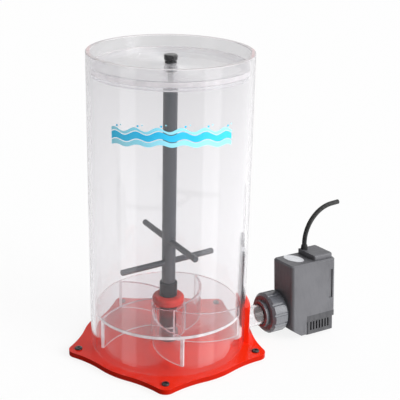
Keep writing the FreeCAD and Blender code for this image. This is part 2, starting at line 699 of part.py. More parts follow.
def housing():
    """The motor case: volute and outlet low down, rotor well, stator cavity open at the top."""
    case = rounded_block("case", (d.pump_face, d.pump_front, d.pump_bottom),
                         (pump_end, pump_back, d.case_top), is_upright, d.case_round)
    before = d.pump_front - PAST
    cover_room = block("cover_room", (d.cover_start, before, d.pump_bottom - PAST),
                       (pump_end + PAST, pump_back + PAST, d.cover_top), PUMP_FRAME)
    lip_room = block("lip_room", (d.cover_start, before, d.cover_top),
                     (pump_end + PAST, d.pump_front + d.lip_thick, d.cover_top + d.lip_rise),
                     PUMP_FRAME)
    plate_room = cylinder("plate_room", d.volute_plate, d.cover_top, -d.volute_half,
                          ROTOR_FRAME)
    volute = cylinder("volute_room", d.volute_radius, -d.volute_half, d.volute_half, ROTOR_FRAME)
    outlet = lying_cylinder("outlet_room", d.outlet_bore, d.pump_face, d.rotor_place, PUMP_FRAME)
    spigot = lying_cylinder("spigot_room", d.spigot_radius, d.pump_face, d.spigot_end, PUMP_FRAME)
    well = cylinder("well_room", d.well_radius, ZERO, d.well_top - d.well_wall, ROTOR_FRAME)
    wall = d.case_wall
    cavity = block("cavity_room", (d.spigot_end, d.pump_front + wall, d.cavity_bottom),
                   (pump_end - wall, pump_back - wall, d.case_top + PAST), PUMP_FRAME)
    tower = cylinder("well_tower", d.well_radius + d.well_wall, d.cavity_bottom, d.well_top,
                     ROTOR_FRAME)
    corner = PUMP_FRAME * FreeCAD.Placement(
        FreeCAD.Vector(d.pump_face.value, 0, (d.pump_bottom + d.corner_rise).value),
        FreeCAD.Rotation(FreeCAD.Vector(0, 1, 0), d.corner_turn.value))
    corner_room = block("corner_room", (-d.corner_reach, before, -d.corner_reach),
                        (d.corner_reach, pump_back + PAST, ZERO), corner)
    slot = block("side_slot", (d.case_slot_start, before, d.case_slot_bottom),
                 (d.case_slot_end, d.pump_front + d.case_slot_depth, d.case_slot_top), PUMP_FRAME)
    shell = cut("shell", bevel_rim(case, d.pump_bottom, d.case_bevel), cover_room, lip_room,
                plate_room, volute, outlet, spigot, well, slot, corner_room)
    keep("pump_housing", cut("case_hollow", shell, cut("cavity", cavity, tower)))


def pump_cap():
    """The lid of the motor case, with a raised half and the hole for the cable gland."""
    top = d.case_top + d.cap_thick

    def rise_edge(start, end):
        """Upright edges, and the top ones but for the step beside the sticker."""
        on_step = max(start.x, end.x) < d.cap_split.value + 1
        return is_upright(start, end) or (start.z > top.value + 1 and not on_step)

    plate = rounded_block("cap", (d.pump_face, d.pump_front, d.case_top),
                          (pump_end, pump_back, top), is_upright, d.case_round)
    bevel = bevel_rim(plate, top, d.cap_bevel)
    margin = d.cap_margin
    rise = rounded_block("cap_rise", (d.cap_split, d.pump_front + d.cap_setback, top),
                         (pump_end - margin, pump_back - margin, top + d.cap_rise),
                         rise_edge, d.cap_round)
    hole = cylinder("cable_hole", d.cable_radius, d.case_top, top + d.cap_rise, CABLE_FRAME)
    keep("pump_cap", cut("cap", joined("cap", bevel, rise), hole))


def intake():
    """The black slotted cover under the volute, and the plate with the pump's eye."""
    inset = d.cover_inset
    wall = d.cover_wall
    low = (d.cover_start, d.pump_front + inset, d.pump_bottom)
    high = (pump_end - inset, pump_back - inset, d.cover_top)
    box = rounded_block("cover", low, high, is_upright, d.cover_round)
    room = block("cover_inside", (low[0] + wall, low[1] + wall, low[2] + wall),
                 (high[0] - wall, high[1] - wall, high[2]), PUMP_FRAME)
    slots = []
    for number in range(int(d.cover_slots.value)):
        place = d.cover_slot_start + d.cover_slot_pitch * number
        slots.append(block("cover_slot", (place, d.pump_front, d.cover_slot_bottom),
                           (place + d.cover_slot_width, low[1] + wall + PAST, d.cover_slot_top),
                           PUMP_FRAME))
    lip_front = d.pump_front + d.lip_setback
    ramp_bottom = d.cover_top - d.ramp_height
    lip = block("cover_lip", (low[0], lip_front, ramp_bottom),
                (high[0], d.pump_front + d.lip_thick, d.cover_top + d.lip_rise), PUMP_FRAME)
    ramp = block("cover_ramp", (low[0], lip_front, ramp_bottom),
                 (high[0], low[1] + inset, d.cover_top), PUMP_FRAME)
    solid = joined("cover_solid", box, lip, ramp)
    keep("intake_cover", cut("cover", solid, room, joined("cover_slots", *slots)))
    plate = cylinder("volute_disc", d.volute_plate, d.cover_top, -d.volute_half, ROTOR_FRAME)
    holes = [cylinder("axle_seat", d.axle_radius, d.cover_top, -d.volute_half, ROTOR_FRAME)]
    for number in range(int(d.eye_count.value)):
        turned = ROTOR_FRAME * turned_frame(number * 360 / d.eye_count.value)
        frame = turned * turned_frame(0, x=d.eye_circle.value)
        holes.append(cylinder("eye_hole", d.eye_radius, d.cover_top, -d.volute_half, frame))
    keep("volute_plate", cut("volute_plate", plate, *holes))


def pump_rotor():
    """The impeller and its magnet, which spin on a fixed ceramic axle."""
    axle = d.axle_radius
    running = axle + d.running_gap
    well_end = d.well_top - d.well_wall
    bush_bottom = well_end - d.axle_bush_length
    bush_radius = axle + d.axle_bush_wall
    lathe("axle_bush", [(axle, bush_bottom), (bush_radius, bush_bottom), (bush_radius, well_end),
                        (axle, well_end)], frame=ROTOR_FRAME)
    floor = d.impeller_bottom
    shroud = cylinder("impeller_shroud", d.impeller_radius, d.shroud_bottom,
                      d.shroud_bottom + d.shroud_thick, ROTOR_FRAME)
    hub = cylinder("impeller_hub", d.impeller_hub, floor, d.magnet_bottom, ROTOR_FRAME)
    half = d.blade_thick / 2
    blade_start = d.impeller_hub - PAST
    blade_end = d.impeller_radius - d.blade_gap
    blades = []
    for number in range(int(d.blade_count.value)):
        frame = ROTOR_FRAME * turned_frame(number * 360 / d.blade_count.value)
        blades.append(block("impeller_blade", (blade_start, -half, floor + d.blade_gap),
                            (blade_end, half, d.shroud_bottom + d.shroud_overlap), frame))
    bore = cylinder("impeller_bore", running, floor, d.magnet_bottom, ROTOR_FRAME)
    keep("impeller", cut("impeller", joined("impeller", shroud, hub, *blades), bore))
    lathe("rotor_magnet", [(running, d.magnet_bottom), (d.magnet_radius, d.magnet_bottom),
                           (d.magnet_radius, d.magnet_top), (running, d.magnet_top)],
          frame=ROTOR_FRAME)
    lathe("impeller_axle", [(ZERO, d.cover_top), (axle, d.cover_top), (axle, well_end),
                            (ZERO, well_end)], frame=ROTOR_FRAME)


def stator():
    """The laminated core whose legs flank the rotor well, its coil, and the potting round them."""
    half_gap = d.core_gap / 2
    reach = half_gap + d.core_leg
    half_depth = d.core_depth / 2
    leg_bottom = d.cavity_bottom
    bridge_bottom = d.core_top - d.core_bridge
    legs = [
        block("core_leg_left", (-reach, -half_depth, leg_bottom), (-half_gap, half_depth, d.core_top),
              ROTOR_FRAME),
        block("core_leg_right", (half_gap, -half_depth, leg_bottom), (reach, half_depth, d.core_top),
              ROTOR_FRAME),
    ]
    bridge = block("core_bridge", (-half_gap, -half_depth, bridge_bottom),
                   (half_gap, half_depth, d.core_top), ROTOR_FRAME)
    core = keep("stator_core", joined("stator_core", bridge, *legs))
    wire = d.coil_build
    side = half_gap - d.coil_gap
    winding = block("coil_outside", (-side, -half_depth - wire, bridge_bottom - wire),
                    (side, half_depth + wire, d.core_top + wire - d.coil_clearance), ROTOR_FRAME)
    opening = block("coil_inside", (-side, -half_depth, bridge_bottom),
                    (side, half_depth, d.core_top), ROTOR_FRAME)
    coil = keep("stator_coil", cut("coil", winding, opening))
    wall = d.case_wall
    filling = block("potting_block", (d.spigot_end, d.pump_front + wall, d.cavity_bottom),
                    (pump_end - wall, pump_back - wall, d.case_top), PUMP_FRAME)
    tower = cylinder("potting_well", d.well_radius + d.well_wall, d.cavity_bottom, d.well_top,
                     ROTOR_FRAME)
    keep("potting_resin", cut("potting", filling, tower, core, coil))


def cable():
    """The rubber gland and a short length of cable that rises and bends away from the tube."""
    top = d.case_top + d.cap_thick + d.cap_rise
    radius = d.cable_radius
    lathe("cable_gland", [
        (radius, top), (radius + d.gland_collar, top),
        (radius + d.gland_collar, top + d.gland_collar_height),
        (radius + d.gland_wide, top + d.gland_wide_height),
        (radius + d.gland_thin, top + d.gland_height), (radius, top + d.gland_height),
    ], frame=CABLE_FRAME)
    body = new_body("power_cable", CABLE_FRAME)
    section = sketch_on(body, "XY_Plane", "cable_section")
    section.AttachmentOffset = FreeCAD.Placement(FreeCAD.Vector(0, 0, d.case_top.value),
                                                 FreeCAD.Rotation())
    draw_circle(section, radius)
    path = sketch_on(body, "XZ_Plane", "cable_path")
    start = FreeCAD.Vector(0, d.case_top.value, 0)
    bend_start = start + FreeCAD.Vector(0, d.cable_rise.value + d.cap_thick.value, 0)
    centre = bend_start + FreeCAD.Vector(d.cable_bend.value, 0, 0)
    turn = math.radians(d.cable_turn.value)
    circle = Part.Circle(centre, AXIS_UP, d.cable_bend.value)
    bend = Part.ArcOfCircle(circle, math.pi - turn, math.pi)
    bend_end = centre + FreeCAD.Vector(-math.cos(turn), math.sin(turn), 0) * d.cable_bend.value
    tail_end = bend_end + FreeCAD.Vector(math.sin(turn), math.cos(turn), 0) * d.cable_tail.value
    path.addGeometry([Part.LineSegment(start, bend_start), bend,
                      Part.LineSegment(bend_end, tail_end)], False)
    path.addConstraint([
        Sketcher.Constraint("Tangent", 0, 2, 1, 2),
        Sketcher.Constraint("Tangent", 1, 1, 2, 1),
        Sketcher.Constraint("Vertical", 0),
    ])
    tie(path, "DistanceX", -1, 1, 0, 1, size=ZERO)
    tie(path, "DistanceY", -1, 1, 0, 1, size=d.case_top)
    tie(path, "Distance", 0, size=d.cable_rise + d.cap_thick)
    tie(path, "Radius", 1, size=d.cable_bend)
    tie(path, "Distance", 2, size=d.cable_tail)
    doc.recompute()
    pipe = body.newObject("PartDesign::AdditivePipe", "cable_sweep")
    pipe.Profile = section
    pipe.Spine = (path, ["Edge1", "Edge2", "Edge3"])


def top_label():
    """A plain oval sticker on the cap."""
    top = d.case_top + d.cap_thick
    oval = doc.addObject("Part::Ellipse", "label_oval")
    bind(oval, "MajorRadius", d.label_long)
    bind(oval, "MinorRadius", d.label_short)
    oval.Placement = PUMP_FRAME * FreeCAD.Placement(
        FreeCAD.Vector(d.label_place.value, d.label_depth.value, top.value),
        FreeCAD.Rotation(AXIS_UP, d.label_turn.value))
    sticker = doc.addObject("Part::Extrusion", "label_sheet")
    sticker.Base = oval
    sticker.DirMode = "Custom"
    sticker.Dir = AXIS_UP
    sticker.Solid = True
    bind(sticker, "LengthFwd", d.label_thick)
    keep("top_label", sticker)


def write_parts():
    """Stops on any failed object, then writes one file for each sub-part."""
    doc.recompute()
    for item in doc.Objects:
        if "Invalid" in item.State or "Error" in item.State:
            raise SystemExit(f"{item.Name} ({item.Label}) failed: {item.State}")
    os.makedirs("parts", exist_ok=True)
    for label, item in parts.items():
        shape = item.Shape
        if shape.isNull() or not shape.isValid() or not shape.Solids:
            raise SystemExit(f"{label} has no valid shape")
        shape.exportStep(f"parts/{label}.step")
        print(f"{label:18s} solids {len(shape.Solids)} volume {shape.Volume / 1000:9.2f} cm3")


base_plate()
feet_and_screws()
body_tube()
ledge()
port_saddle()
inlet_pipe()
pivot()
coupling()
shaft()
shaft_plug()
stirring_bar("upper_stir_bar", d.upper_bar_angle, d.upper_bar_height)
stirring_bar("lower_stir_bar", d.lower_bar_angle, d.lower_bar_height)
wheel()
lid()
union()
housing()
pump_cap()
intake()
pump_rotor()
stator()
cable()
top_label()
write_parts()
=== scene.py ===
import json
import math

import bmesh
import bpy
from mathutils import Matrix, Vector
from mathutils.geometry import delaunay_2d_cdt


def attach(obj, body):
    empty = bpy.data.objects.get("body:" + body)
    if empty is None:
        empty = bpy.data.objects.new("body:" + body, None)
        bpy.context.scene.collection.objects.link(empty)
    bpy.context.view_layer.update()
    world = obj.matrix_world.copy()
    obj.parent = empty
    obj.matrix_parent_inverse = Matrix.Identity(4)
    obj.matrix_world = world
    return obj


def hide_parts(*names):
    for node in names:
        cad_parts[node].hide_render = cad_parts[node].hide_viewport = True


# Looks of a stirred media reactor: clear acrylic tube, wheel and lid, red acrylic base, grey
# rotor, black union and side pump.  The scene is in metres, in the CAD's own frame: +Z up on the
# rotor axis, the pump to the right and a little behind.  Outlines are given in millimetres.

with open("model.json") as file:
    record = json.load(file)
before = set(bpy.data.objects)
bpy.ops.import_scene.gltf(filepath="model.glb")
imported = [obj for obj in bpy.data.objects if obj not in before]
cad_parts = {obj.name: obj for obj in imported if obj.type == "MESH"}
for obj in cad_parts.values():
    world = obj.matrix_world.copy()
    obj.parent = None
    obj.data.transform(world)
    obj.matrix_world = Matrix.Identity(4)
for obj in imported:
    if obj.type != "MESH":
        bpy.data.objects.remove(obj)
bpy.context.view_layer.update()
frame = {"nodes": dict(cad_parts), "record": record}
MM = 0.001
IOR_ACRYLIC = 1.49

BODY_OF = {node: body for body, members in frame["record"]["behaviour"]["bodies"].items()
           for node in members}
SLOT_OF = {part["node"]: part["material_slot"] for part in frame["record"]["subparts"]}

# ---- material building ----------------------------------------------------------------------


def new_tree(name):
    """An empty node material and its tree."""
    material = bpy.data.materials.new(name)
    material.use_nodes = True
    material.node_tree.nodes.clear()
    return material, material.node_tree


def add(tree, kind, inputs=None, **settings):
    """A node with its settings, and its inputs given as values or as other nodes' sockets."""
    node = tree.nodes.new(kind)
    for key, value in settings.items():
        setattr(node, key, value)
    for key, value in (inputs or {}).items():
        if isinstance(value, bpy.types.NodeSocket):
            tree.links.new(value, node.inputs[key])
        else:
            node.inputs[key].default_value = value
    return node


def place(tree, stretch=(1, 1, 1)):
    """Positions on the piece in metres, stretched along any axis."""
    where = add(tree, "ShaderNodeTexCoord").outputs["Object"]
    return add(tree, "ShaderNodeMapping", {"Vector": where, "Scale": stretch}).outputs["Vector"]


def noise(tree, scale, detail=3.0, stretch=(1, 1, 1), roughness=0.5):
    """Noise of about 0 to 1 over the piece; scale is in cells per metre."""
    return add(tree, "ShaderNodeTexNoise", {
        "Vector": place(tree, stretch), "Scale": scale, "Detail": detail, "Roughness": roughness,
    }).outputs["Fac"]


def spread(tree, value, low, high, start=0.3, end=0.7):
    """A value of start to end carried to low to high."""
    return add(tree, "ShaderNodeMapRange", {
        "Value": value, "From Min": start, "From Max": end, "To Min": low, "To Max": high,
    }).outputs["Result"]


def tone(tree, value, first, second):
    """A colour between two, by the value."""
    mix = add(tree, "ShaderNodeMix", data_type="RGBA")
    tree.links.new(value, mix.inputs["Factor"])
    mix.inputs["A"].default_value = (*first, 1)
    mix.inputs["B"].default_value = (*second, 1)
    return mix.outputs["Result"]


def bump(tree, height, depth, strength=1.0, below=None):
    """A surface relief with its depth in metres."""
    inputs = {"Height": height, "Distance": depth, "Strength": strength}
    if below is not None:
        inputs["Normal"] = below
    return add(tree, "ShaderNodeBump", inputs).outputs["Normal"]


def finish_tree(tree, surface):
    add(tree, "ShaderNodeOutputMaterial", {"Surface": surface})


def moulded(name, dark, light, roughness, relief, grain, streak=(1, 1, 1), specular=0.5,
            coat=0.0):
    """An opaque plastic: broad tone changes, uneven gloss, fine relief and a few scuffs.

    Relief is the depth of the surface grain in metres, and grain its cells per metre.
    """
    material, tree = new_tree(name)
    broad = noise(tree, 28, 4, streak)
    fine = noise(tree, grain, 2, streak)
    scuffs = noise(tree, 130, 8, (1, 5, 0.4), 0.75)
    colour = tone(tree, spread(tree, broad, 0, 1), dark, light)
    worn = spread(tree, scuffs, roughness * 0.85, min(1.0, roughness * 1.35), 0.45, 0.62)
    relief_normal = bump(tree, fine, relief, 0.8)
    surface = add(tree, "ShaderNodeBsdfPrincipled", {
        "Base Color": colour, "Roughness": worn, "Normal": relief_normal,
        "Specular IOR Level": specular, "Coat Weight": coat, "Coat Roughness": 0.08,
    })
    finish_tree(tree, surface.outputs["BSDF"])
    return material


def red_acrylic(name, dark, light, specular):
    """Cast red acrylic: deep colour, painted light that makes it lighter towards the right, and
    faint hairlines.
    """
    material, tree = new_tree(name)
    across = add(tree, "ShaderNodeSeparateXYZ", {"Vector": place(tree)}).outputs["X"]
    # Painted light: the red grows lighter towards +X, the side the key lamp lights, added to the
    # random tone.
    painted_light_to_right = spread(tree, across, -0.3, 0.75, -0.11, 0.10)
    broad = add(tree, "ShaderNodeMath", {0: noise(tree, 16, 3), 1: painted_light_to_right}, operation="ADD")
    hairlines = noise(tree, 260, 6, (1, 0.06, 1), 0.7)
    colour = tone(tree, spread(tree, broad.outputs["Value"], 0, 1, 0.1, 1.2), dark, light)
    gloss = spread(tree, hairlines, 0.1, 0.24, 0.45, 0.65)
    relief = bump(tree, noise(tree, 45, 2), 0.00004, 0.5)
    body = add(tree, "ShaderNodeBsdfPrincipled", {
        "Base Color": colour, "Roughness": gloss, "Normal": relief, "IOR": IOR_ACRYLIC,
        "Specular IOR Level": specular,
    })
    finish_tree(tree, body.outputs["BSDF"])
    return material


def blended(tree, share, first, second):
    """Two shaders mixed; share is how much of the second."""
    return add(tree, "ShaderNodeMixShader", {"Fac": share, 1: first, 2: second}).outputs["Shader"]


def see_through(tree, glassy, tint):
    """Glass for the eye and for reflections; plainly clear for shadows and soft light."""
    path = add(tree, "ShaderNodeLightPath")
    soft = add(tree, "ShaderNodeMath", {
        0: path.outputs["Is Shadow Ray"], 1: path.outputs["Is Diffuse Ray"],
    }, operation="MAXIMUM")
    clear = add(tree, "ShaderNodeBsdfTransparent", {"Color": (*tint, 1)})
    return blended(tree, soft.outputs["Value"], glassy, clear.outputs["BSDF"])


def clear_acrylic(name, tint, ripple, haze, veil, brushed=0.0):
    """Clear acrylic with faint drawing ripples, uneven polish and a thin whitish veil.

    Brushed is the share of fine turned scratches, which fan the light out from the axis.
    """
    material, tree = new_tree(name)
    waves = noise(tree, 14, 2, (1, 1, 0.25))
    rough = spread(tree, noise(tree, 60, 5), haze * 0.3, haze)
    glass = add(tree, "ShaderNodeBsdfGlass", {
        "Color": (*tint, 1), "Roughness": rough, "IOR": IOR_ACRYLIC,
        "Normal": bump(tree, waves, ripple, 0.6),
    })
    whitish = {"Color": (0.9, 0.9, 0.92, 1)}
    front = add(tree, "ShaderNodeBsdfDiffuse", whitish)
    through = add(tree, "ShaderNodeBsdfTranslucent", whitish)
    dust = blended(tree, 0.5, front.outputs["BSDF"], through.outputs["BSDF"])
    cover = spread(tree, noise(tree, 24, 5), veil * 0.8, veil * 1.2)
    surface = blended(tree, cover, glass.outputs["BSDF"], dust)
    if brushed > 0:
        rings = add(tree, "ShaderNodeTangent", direction_type="RADIAL", axis="Z").outputs["Tangent"]
        sheen = add(tree, "ShaderNodeBsdfAnisotropic", {
            "Color": (0.95, 0.95, 0.96, 1), "Roughness": 0.5, "Anisotropy": 0.62,
            "Tangent": rings,
        })
        patchy = spread(tree, noise(tree, 30, 4, (1, 1, 0.2)), brushed * 0.6, brushed * 1.4)
        surface = blended(tree, patchy, surface, sheen.outputs["BSDF"])
    finish_tree(tree, see_through(tree, surface, tint))
    return material


def cut_edge(name, white, share):
    """Sawn and flame-polished acrylic edge: it gathers light and looks milky."""
    material, tree = new_tree(name)
    marks = noise(tree, 900, 4, (1, 1, 0.15))
    milk = spread(tree, noise(tree, 120, 3), share * 0.8, min(1.0, share * 1.15))
    relief = bump(tree, marks, 0.00005, 0.6)
    glass = add(tree, "ShaderNodeBsdfGlass", {
        "Color": (0.97, 0.975, 0.98, 1), "Roughness": 0.22, "IOR": IOR_ACRYLIC, "Normal": relief,
    })
    front = add(tree, "ShaderNodeBsdfDiffuse", {"Color": (*white, 1), "Normal": relief})
    through = add(tree, "ShaderNodeBsdfTranslucent", {"Color": (*white, 1)})
    both = blended(tree, 0.45, front.outputs["BSDF"], through.outputs["BSDF"])
    finish_tree(tree, blended(tree, milk, glass.outputs["BSDF"], both))
    return material


def laminated(name):
    """Stacked sheet steel: thin lines across the stack."""
    material, tree = new_tree(name)
    lines = add(tree, "ShaderNodeTexWave", {
        "Vector": place(tree), "Scale": 320.0, "Distortion": 0.4, "Detail": 2.0,
    }, wave_type="BANDS", bands_direction="Y").outputs["Fac"]
    colour = tone(tree, lines, (0.20, 0.20, 0.21), (0.42, 0.43, 0.45))
    surface = add(tree, "ShaderNodeBsdfPrincipled", {
        "Base Color": colour, "Metallic": 0.9, "Roughness": 0.42,
        "Normal": bump(tree, lines, 0.0001, 0.7),
    })
    finish_tree(tree, surface.outputs["BSDF"])
    return material


def wound(name):
    """Enamelled copper wire, wound in close turns."""
    material, tree = new_tree(name)
    turns = add(tree, "ShaderNodeTexWave", {
        "Vector": place(tree), "Scale": 260.0, "Distortion": 0.6, "Detail": 1.0,
    }, wave_type="BANDS", bands_direction="X").outputs["Fac"]
    colour = tone(tree, turns, (0.22, 0.07, 0.02), (0.66, 0.28, 0.10))
    surface = add(tree, "ShaderNodeBsdfPrincipled", {
        "Base Color": colour, "Metallic": 0.85, "Roughness": 0.28,
        "Normal": bump(tree, turns, 0.0003, 0.8),
    })
    finish_tree(tree, surface.outputs["BSDF"])
    return material


MATERIALS = {
    "red": red_acrylic("red_acrylic", (0.54, 0.014, 0.006), (0.90, 0.026, 0.006), 0.22),
    # A darker, duller copy of the red acrylic for the plate's upright faces: painted shade.
    "red_edge_painted_shade": red_acrylic("red_edge_painted_shade", (0.34, 0.008, 0.003), (0.50, 0.012, 0.003), 0.02),
    # A darker copy of the red acrylic for the ring on the hub: painted shade.
    "red_ring_painted_shade": red_acrylic("red_ring_painted_shade", (0.42, 0.014, 0.008), (0.55, 0.022, 0.012), 0.22),
    "clear": clear_acrylic("clear_acrylic", (0.975, 0.972, 0.978), 0.00010, 0.02, 0.018),
    "lid": clear_acrylic("lid_acrylic", (0.975, 0.972, 0.976), 0.00040, 0.05, 0.05, 0.11),
    "ledge": clear_acrylic("ledge_acrylic", (0.98, 0.978, 0.982), 0.00020, 0.10, 0.22),
    "edge": cut_edge("acrylic_edge", (0.96, 0.96, 0.97), 0.85),
    # The rim's faint pink tint is a painted reflection of the red base.
    "rim": cut_edge("tube_rim_pink_painted_reflection", (0.93, 0.90, 0.91), 0.55),
    "pvc": moulded("grey_pvc", (0.026, 0.029, 0.036), (0.038, 0.042, 0.050), 0.36, 0.00003,
                   900, (1, 1, 0.05), specular=0.95),
    "pvc_dark": moulded("dark_pvc", (0.005, 0.005, 0.008), (0.009, 0.009, 0.013), 0.40, 0.00003,
                        700, (1, 1, 0.2), specular=0.35),
    "pump": moulded("pump_plastic", (0.088, 0.088, 0.096), (0.112, 0.112, 0.122), 0.46, 0.00006,
                    1500),
    "nut": moulded("union_plastic", (0.085, 0.088, 0.100), (0.110, 0.114, 0.128), 0.28, 0.00003,
                   900, coat=0.3),
    "black": moulded("black_plastic", (0.012, 0.012, 0.013), (0.020, 0.020, 0.022), 0.28, 0.00003,
                     1100, coat=0.2),
    "cover": moulded("cover_plastic", (0.030, 0.030, 0.034), (0.042, 0.042, 0.047), 0.42, 0.00005,
                     1300),
    "rubber": moulded("black_rubber", (0.014, 0.014, 0.014), (0.024, 0.024, 0.024), 0.62, 0.00008,
                      1600, specular=0.35),
    "acetal": moulded("acetal", (0.80, 0.79, 0.75), (0.88, 0.87, 0.83), 0.4, 0.00002, 800),
    "ceramic": moulded("ceramic", (0.84, 0.82, 0.77), (0.92, 0.90, 0.86), 0.22, 0.00001, 2000),
    "ferrite": moulded("ferrite", (0.05, 0.05, 0.055), (0.08, 0.08, 0.085), 0.5, 0.00005, 1500),
    "steel": laminated("lamination"),
    "copper": wound("copper_coil"),
    "resin": moulded("potting_resin", (0.012, 0.012, 0.014), (0.02, 0.02, 0.024), 0.12, 0.00002,
                     60, coat=0.5),
    "sticker": moulded("label_vinyl", (0.66, 0.67, 0.70), (0.76, 0.77, 0.80), 0.3, 0.00001, 500),
    "blue": moulded("blue_vinyl", (0.020, 0.52, 0.88), (0.050, 0.62, 0.95), 0.35, 0.00001, 500),
    "cyan": moulded("cyan_vinyl", (0.27, 0.77, 0.96), (0.39, 0.84, 0.98), 0.35, 0.00001, 500),
}

SLOT_LOOK = {
    "red_acrylic": "red", "clear_acrylic": "clear", "grey_pvc": "pvc", "pump_plastic": "pump",
    "black_plastic": "black", "black_rubber": "rubber", "acetal": "acetal", "ceramic": "ceramic",
    "magnet": "ferrite", "lamination": "steel", "copper_coil": "copper", "resin": "resin",
    "label_white": "sticker",
}
NODE_LOOK = {
    "shaft_coupling": "pvc_dark", "union_nut": "nut", "union_body": "nut", "union_tail": "nut",
    "intake_cover": "cover", "lid": "lid", "lid_ledge": "ledge", "hub_ring": "red_ring_painted_shade",
}

# ---- mesh building --------------------------------------------------------------------------


def look_of(node):
    return MATERIALS[NODE_LOOK.get(node, SLOT_LOOK[SLOT_OF[node]])]


def shade(mesh, sharp=38):
    """Smooth faces that break only at sharp edges."""
    for face in mesh.polygons:
        face.use_smooth = True
    mesh.set_sharp_from_angle(angle=math.radians(sharp))


def make_piece(node, bm, looks):
    """The finished piece that stands for a CAD node: shaded, painted, riding on its body."""
    name = f"{node}_finish"
    mesh = bpy.data.meshes.new(name)
    bm.to_mesh(mesh)
    bm.free()
    for look in looks:
        mesh.materials.append(look)
    shade(mesh)
    piece = bpy.data.objects.new(name, mesh)
    bpy.context.scene.collection.objects.link(piece)
    weighted = piece.modifiers.new("weighted_normals", "WEIGHTED_NORMAL")
    weighted.keep_sharp = True
    weighted.weight = 80
    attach(piece, BODY_OF[node])
    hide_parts(node)


def round_over(bm, width):
    """Breaks every sharp edge with a small round."""
    limit = math.radians(32)
    sharp = [edge for edge in bm.edges
             if len(edge.link_faces) == 2 and edge.calc_face_angle(0) > limit]
    bmesh.ops.bevel(bm, geom=sharp, offset=width, offset_type="OFFSET", segments=2,
                    profile=0.5, affect="EDGES", clamp_overlap=True)


def finish_node(node, bm, width, edge_look, is_edge):
    """Marks the faces that is_edge picks for their own look, breaks the edges, makes the piece."""
    if is_edge is not None:
        for face in bm.faces:
            face.material_index = int(is_edge(face.calc_center_median(), face.normal))
    if width > 0:
        round_over(bm, width)
    make_piece(node, bm, [look_of(node)] + ([edge_look] if edge_look else []))


def welded(node):
    """The CAD node's surface as one connected mesh with flat areas as single faces."""
    bm = bmesh.new()
    bm.from_mesh(frame["nodes"][node].data)
    for face in bm.faces:
        face.material_index = 0
    bmesh.ops.remove_doubles(bm, verts=bm.verts, dist=2e-6)
    bmesh.ops.dissolve_limit(bm, angle_limit=math.radians(0.4), use_dissolve_boundaries=False,
                             verts=bm.verts, edges=bm.edges)
    return bm


def refined(node, width, edge_look=None, is_edge=None, trim=None):
    """A CAD node rebuilt with broken edges; trim may move its points first."""
    bm = welded(node)
    if trim is not None:
        for vert in bm.verts:
            trim(vert.co)
    bm.normal_update()
    finish_node(node, bm, width, edge_look, is_edge)


def turned(node, profile, width, steps=256, edge_look=None, is_edge=None):
    """A ring turned about the rotor axis from its closed outline of (radius, height) in mm."""
    bm = bmesh.new()
    rings = []
    for radius, height in profile:
        if radius == 0:
            rings.append([bm.verts.new((0, 0, height * MM))])
            continue
        rings.append([bm.verts.new((radius * MM * math.cos(2 * math.pi * step / steps),
                                    radius * MM * math.sin(2 * math.pi * step / steps),
                                    height * MM)) for step in range(steps)])
    for ring, following in zip(rings, rings[1:] + rings[:1]):
        if len(ring) == len(following) == 1:
            continue
        for step in range(steps):
            after = (step + 1) % steps
            if len(ring) == 1:
                bm.faces.new((ring[0], following[after], following[step]))
            elif len(following) == 1:
                bm.faces.new((ring[step], ring[after], following[0]))
            else:
                bm.faces.new((ring[step], ring[after], following[after], following[step]))
    bmesh.ops.recalc_face_normals(bm, faces=bm.faces)
    finish_node(node, bm, width, edge_look, is_edge)


# ---- clear tube -----------------------------------------------------------------------------

# The jet axis runs past the rotor axis; u points along the pipe away from the tube.
JET_ANGLE = math.radians(28.0)
JET_OFFSET = 38.0
JET_HEIGHT = 30.0
PIPE_RADIUS = 12.5
PLATE_TOP = 8.0
TUBE_OUTER, TUBE_INNER, TUBE_TOP = 90.0, 85.0, 349.0
CEMENT_GAP = 0.1
PORT_STEPS = 72


def port_loop(radius, bore):
    """Where the port's bore meets a cylinder of the given radius, as (angle, height)."""
    loop = []
    for number in range(PORT_STEPS):
        turn = 2 * math.pi * number / PORT_STEPS
        side = bore * math.cos(turn) - JET_OFFSET
        loop.append((JET_ANGLE + math.asin(side / radius), JET_HEIGHT + bore * math.sin(turn)))
    return loop


